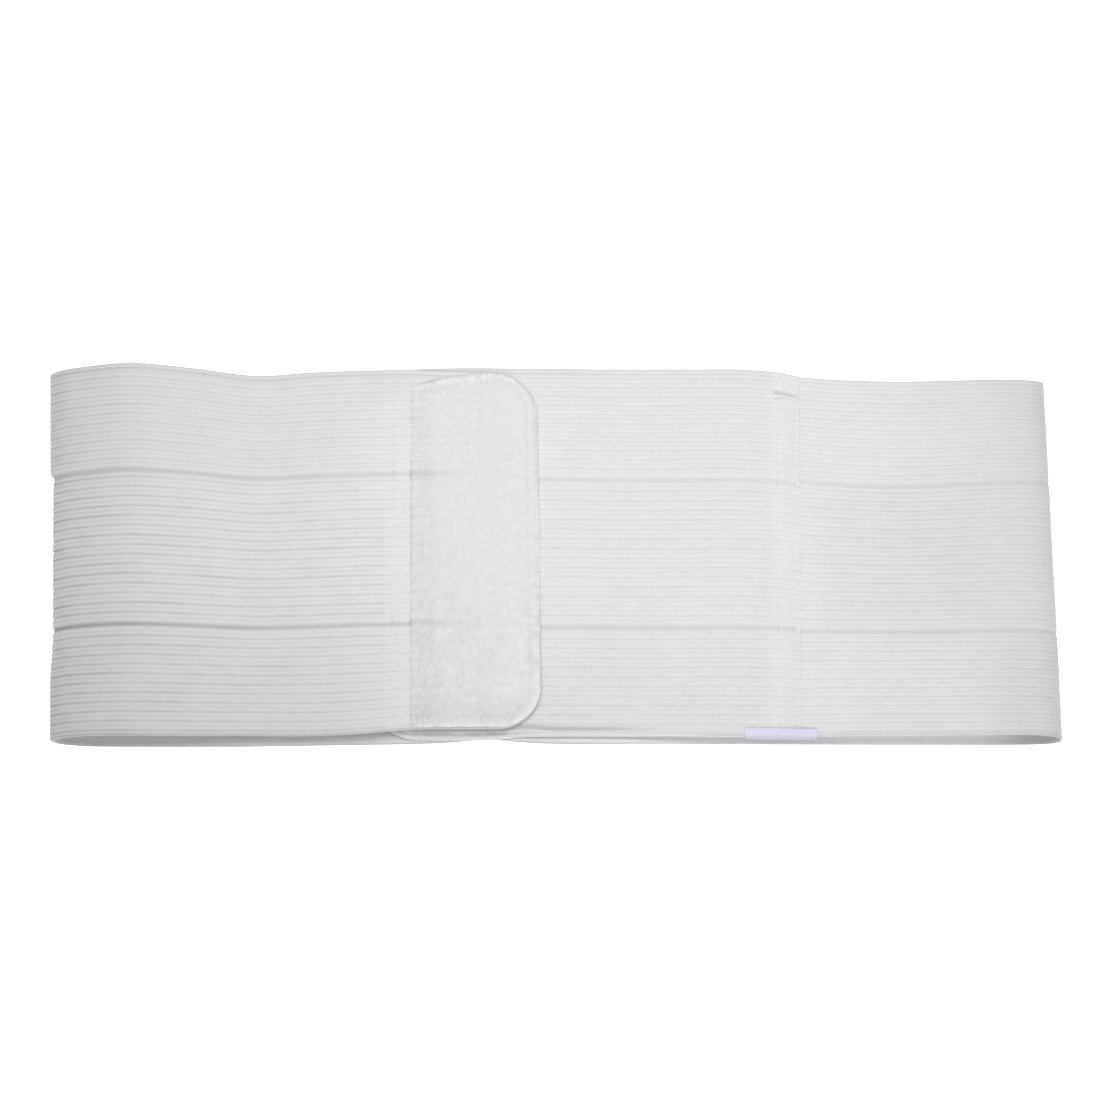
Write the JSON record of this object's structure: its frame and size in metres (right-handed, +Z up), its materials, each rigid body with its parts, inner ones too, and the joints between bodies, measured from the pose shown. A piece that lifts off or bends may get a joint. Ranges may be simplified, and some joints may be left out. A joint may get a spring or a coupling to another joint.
{
  "type": "ostomy support belt",
  "caption": "Wide ribbed elastic support belt with grooved panels, fastened into a loop by a rounded patch closure over an underlap, with a sewn lap seam and a blank tag.",
  "frame": {"origin": "middle of the lying belt's underside, on the surface that it rests on", "axes": "+X along the length of the flattened loop, towards the lap seam; +Y across the width, from the near edge to the far edge; +Z up from the surface"},
  "size_m": [0.4058, 0.156, 0.0143],
  "materials": {
    "ribbed_elastic": "matte ribbed weave",
    "white_pile": "soft brushed pile",
    "hook_tape": "matte hook tape",
    "pale_ribbon": "soft satin weave"
  },
  "bodies": {
    "root": {"main_band": "ribbed_elastic", "underlap_band": "ribbed_elastic", "closure_patch": "white_pile", "hook_patch": "hook_tape", "seam_tag": "pale_ribbon"}
  },
  "joints": []
}
